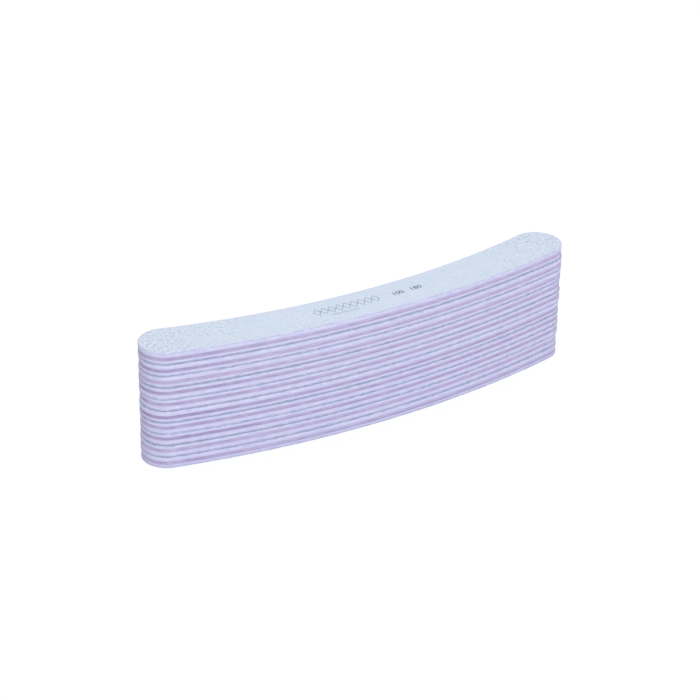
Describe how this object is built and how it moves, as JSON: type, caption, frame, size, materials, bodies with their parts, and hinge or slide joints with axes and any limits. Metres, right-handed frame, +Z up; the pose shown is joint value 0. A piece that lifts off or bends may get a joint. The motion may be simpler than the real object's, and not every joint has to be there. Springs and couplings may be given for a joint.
{
  "type": "emery board stack",
  "caption": "Stack of curved, cushioned emery boards lying flat on one another, each a sandwich of abrasive papers, foam and a stiff plastic core with round ends.",
  "frame": {"origin": "middle of the stack's bounding box at its underside, where the bottom board's lower paper meets the table", "axes": "+X along the boards from one tip to the other, +Y towards the hollow side of their bow, +Z up through the stack"},
  "size_m": [0.1782, 0.0282, 0.0464],
  "materials": {
    "core_plastic": "cut edge of pink polystyrene sheet, semi-gloss",
    "foam": "pale lilac closed-cell foam, fine-pored and matt",
    "coarse_abrasive_paper": "pale blue paper coated with coarse grit, matt and rough",
    "fine_abrasive_paper": "pale blue paper coated with fine grit, matt",
    "adhesive_film": "clear double-sided adhesive film, cloudy at its cut edge"
  },
  "bodies": {
    "board_1": {"board_1_core": "core_plastic", "board_1_coarse_foam": "foam", "board_1_fine_foam": "foam", "board_1_coarse_paper": "coarse_abrasive_paper", "board_1_fine_paper": "fine_abrasive_paper", "board_1_glue_films": "adhesive_film"},
    "board_2": {"board_2_core": "core_plastic", "board_2_coarse_foam": "foam", "board_2_fine_foam": "foam", "board_2_coarse_paper": "coarse_abrasive_paper", "board_2_fine_paper": "fine_abrasive_paper", "board_2_glue_films": "adhesive_film"},
    "board_3": {"board_3_core": "core_plastic", "board_3_coarse_foam": "foam", "board_3_fine_foam": "foam", "board_3_coarse_paper": "coarse_abrasive_paper", "board_3_fine_paper": "fine_abrasive_paper", "board_3_glue_films": "adhesive_film"},
    "board_4": {"board_4_core": "core_plastic", "board_4_coarse_foam": "foam", "board_4_fine_foam": "foam", "board_4_coarse_paper": "coarse_abrasive_paper", "board_4_fine_paper": "fine_abrasive_paper", "board_4_glue_films": "adhesive_film"},
    "board_5": {"board_5_core": "core_plastic", "board_5_coarse_foam": "foam", "board_5_fine_foam": "foam", "board_5_coarse_paper": "coarse_abrasive_paper", "board_5_fine_paper": "fine_abrasive_paper", "board_5_glue_films": "adhesive_film"},
    "board_6": {"board_6_core": "core_plastic", "board_6_coarse_foam": "foam", "board_6_fine_foam": "foam", "board_6_coarse_paper": "coarse_abrasive_paper", "board_6_fine_paper": "fine_abrasive_paper", "board_6_glue_films": "adhesive_film"},
    "board_7": {"board_7_core": "core_plastic", "board_7_coarse_foam": "foam", "board_7_fine_foam": "foam", "board_7_coarse_paper": "coarse_abrasive_paper", "board_7_fine_paper": "fine_abrasive_paper", "board_7_glue_films": "adhesive_film"},
    "board_8": {"board_8_core": "core_plastic", "board_8_coarse_foam": "foam", "board_8_fine_foam": "foam", "board_8_coarse_paper": "coarse_abrasive_paper", "board_8_fine_paper": "fine_abrasive_paper", "board_8_glue_films": "adhesive_film"},
    "board_9": {"board_9_core": "core_plastic", "board_9_coarse_foam": "foam", "board_9_fine_foam": "foam", "board_9_coarse_paper": "coarse_abrasive_paper", "board_9_fine_paper": "fine_abrasive_paper", "board_9_glue_films": "adhesive_film"},
    "board_10": {"board_10_core": "core_plastic", "board_10_coarse_foam": "foam", "board_10_fine_foam": "foam", "board_10_coarse_paper": "coarse_abrasive_paper", "board_10_fine_paper": "fine_abrasive_paper", "board_10_glue_films": "adhesive_film"}
  },
  "joints": [
    {"name": "board_2_lift", "type": "slide", "parent": "board_1", "child": "board_2", "axis": [0, 0, 1], "range_m": [0, 0.02]},
    {"name": "board_3_lift", "type": "slide", "parent": "board_2", "child": "board_3", "axis": [0, 0, 1], "range_m": [0, 0.02]},
    {"name": "board_4_lift", "type": "slide", "parent": "board_3", "child": "board_4", "axis": [0, 0, 1], "range_m": [0, 0.02]},
    {"name": "board_5_lift", "type": "slide", "parent": "board_4", "child": "board_5", "axis": [0, 0, 1], "range_m": [0, 0.02]},
    {"name": "board_6_lift", "type": "slide", "parent": "board_5", "child": "board_6", "axis": [0, 0, 1], "range_m": [0, 0.02]},
    {"name": "board_7_lift", "type": "slide", "parent": "board_6", "child": "board_7", "axis": [0, 0, 1], "range_m": [0, 0.02]},
    {"name": "board_8_lift", "type": "slide", "parent": "board_7", "child": "board_8", "axis": [0, 0, 1], "range_m": [0, 0.02]},
    {"name": "board_9_lift", "type": "slide", "parent": "board_8", "child": "board_9", "axis": [0, 0, 1], "range_m": [0, 0.02]},
    {"name": "board_10_lift", "type": "slide", "parent": "board_9", "child": "board_10", "axis": [0, 0, 1], "range_m": [0, 0.02]}
  ]
}
